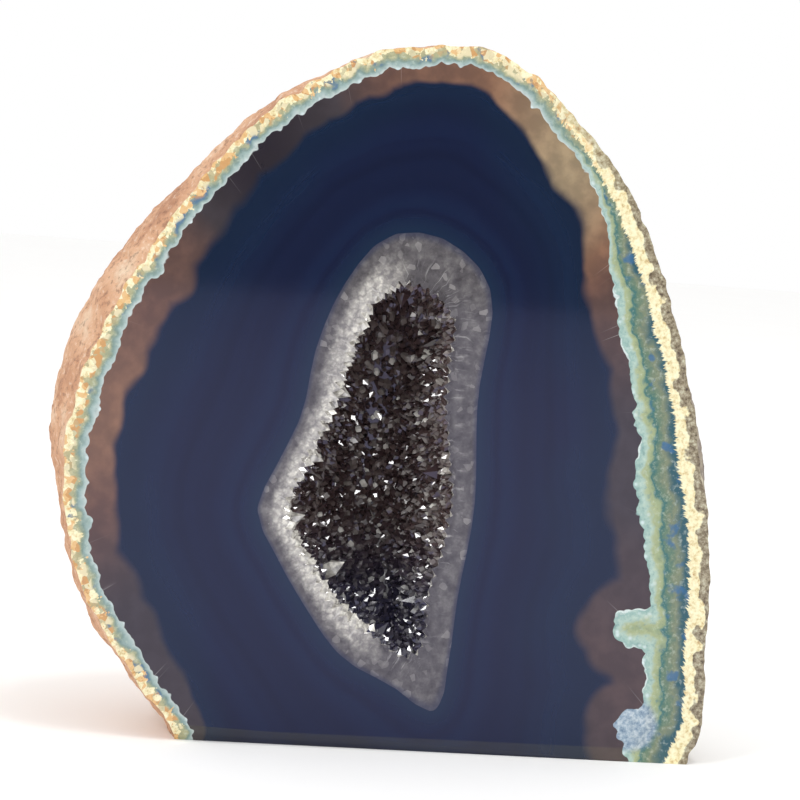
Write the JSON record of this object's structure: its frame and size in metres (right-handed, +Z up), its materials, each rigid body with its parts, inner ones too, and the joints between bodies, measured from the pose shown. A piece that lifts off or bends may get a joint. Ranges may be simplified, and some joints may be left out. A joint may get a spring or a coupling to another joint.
{
  "type": "geode half",
  "caption": "Half of an agate geode on a flat sawn base, with a polished banded face, a rough rind and a crystal-lined pocket.",
  "frame": {"origin": "on the sawn base, under the middle of the stone's bounding box", "axes": "+Z up from the base; the polished face looks along -Y; +X is to the right of that face as its viewer sees it"},
  "size_m": [0.1054, 0.0502, 0.1088],
  "materials": {
    "agate": "polished",
    "quartz": "polished",
    "crystal": "polished"
  },
  "bodies": {
    "root": {"agate_half": "agate", "quartz_druse": "quartz", "large_crystal_01": "crystal", "large_crystal_02": "crystal", "large_crystal_03": "crystal", "large_crystal_04": "crystal", "large_crystal_05": "crystal", "large_crystal_06": "crystal", "large_crystal_07": "crystal", "large_crystal_08": "crystal", "large_crystal_09": "crystal", "large_crystal_10": "crystal", "large_crystal_11": "crystal", "large_crystal_12": "crystal"}
  },
  "joints": []
}
